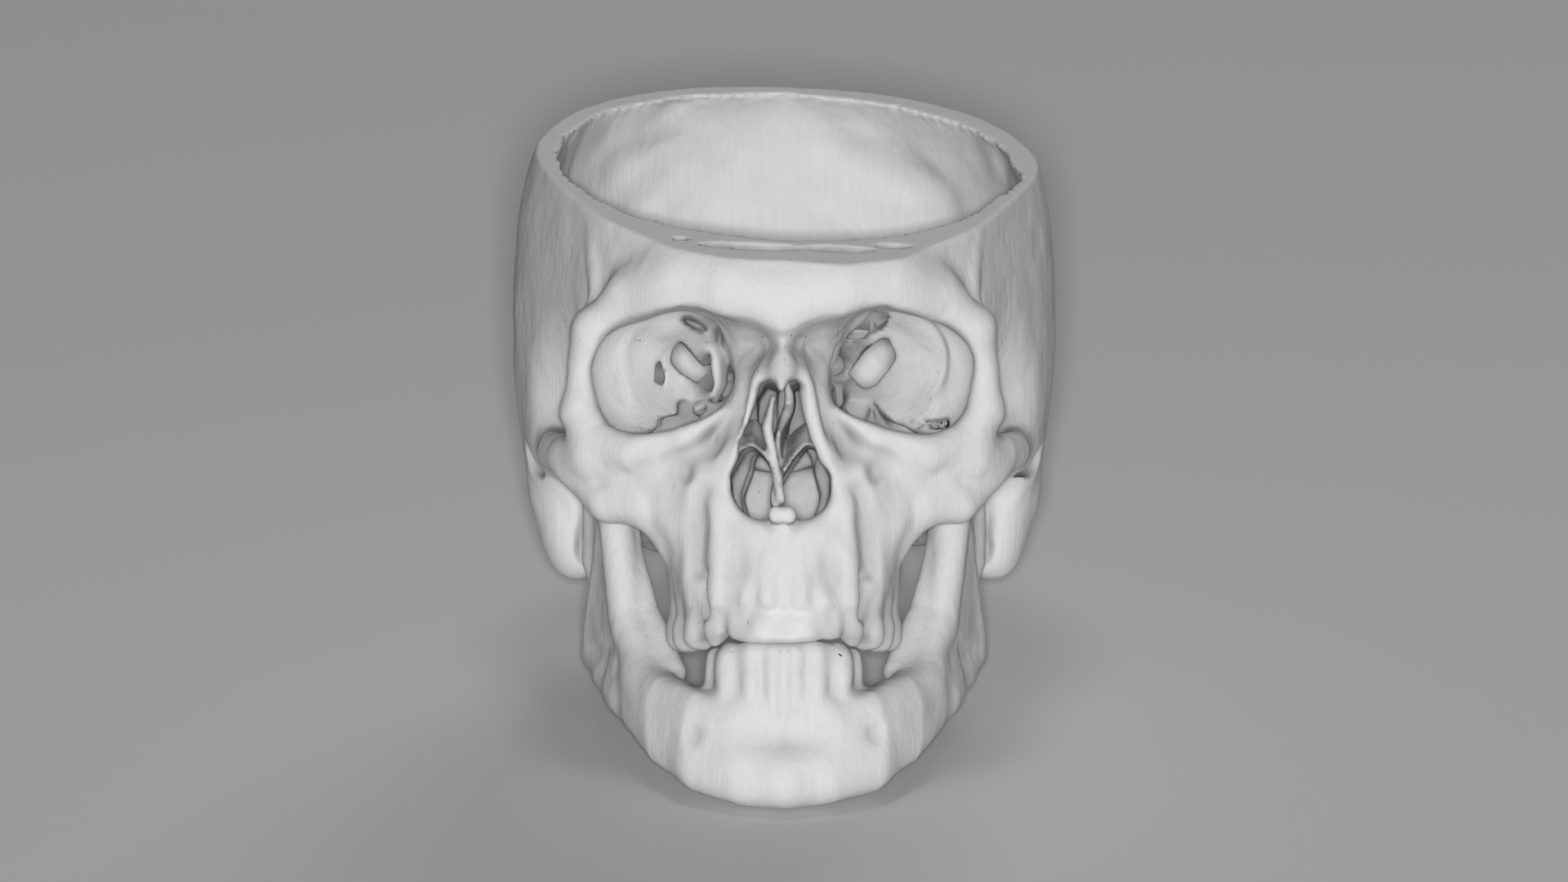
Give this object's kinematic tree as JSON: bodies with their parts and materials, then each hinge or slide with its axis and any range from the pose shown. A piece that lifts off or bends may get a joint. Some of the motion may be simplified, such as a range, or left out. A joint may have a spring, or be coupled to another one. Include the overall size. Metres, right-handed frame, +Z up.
{
  "type": "human skull",
  "caption": "Dry adult human skull with the cap sawn off, open brain case, separate facial bones and teeth, and a hinged lower jaw.",
  "frame": {"origin": "middle of the bounding box in plan, at its lowest level, which the chin and jaw angles stand on", "axes": "+Z up with the saw cut close to level, the face towards -Y, +X to the left side of the head"},
  "size_m": [0.148, 0.2212, 0.1439],
  "materials": {
    "bone": "matte, fine ridged dry bone",
    "enamel": "smooth satin tooth enamel"
  },
  "bodies": {
    "cranium": {"ethmoid": "bone", "frontal": "bone", "left_inferior_concha": "bone", "left_lacrimal": "bone", "left_maxilla": "bone", "left_nasal_bone": "bone", "left_palatine": "bone", "left_parietal": "bone", "left_temporal": "bone", "left_zygomatic": "bone", "occipital": "bone", "right_inferior_concha": "bone", "right_lacrimal": "bone", "right_maxilla": "bone", "right_nasal_bone": "bone", "right_palatine": "bone", "right_parietal": "bone", "right_temporal": "bone", "right_zygomatic": "bone", "sphenoid": "bone", "upper_left_canine": "enamel", "upper_left_central_incisor": "enamel", "upper_left_first_molar": "enamel", "upper_left_first_premolar": "enamel", "upper_left_lateral_incisor": "enamel", "upper_left_second_molar": "enamel", "upper_left_second_premolar": "enamel", "upper_right_canine": "enamel", "upper_right_central_incisor": "enamel", "upper_right_first_molar": "enamel", "upper_right_first_premolar": "enamel", "upper_right_lateral_incisor": "enamel", "upper_right_second_molar": "enamel", "upper_right_second_premolar": "enamel", "vomer": "bone"},
    "jaw": {"lower_left_canine": "enamel", "lower_left_central_incisor": "enamel", "lower_left_first_premolar": "enamel", "lower_left_lateral_incisor": "enamel", "lower_right_canine": "enamel", "lower_right_central_incisor": "enamel", "lower_right_first_premolar": "enamel", "lower_right_lateral_incisor": "enamel", "mandible": "bone"}
  },
  "joints": [
    {"name": "jaw_hinge", "type": "hinge", "parent": "cranium", "child": "jaw", "pos_m": [0, 0.00005, 0.06361], "axis": [1, 0, 0], "range_deg": [0, 25]}
  ]
}
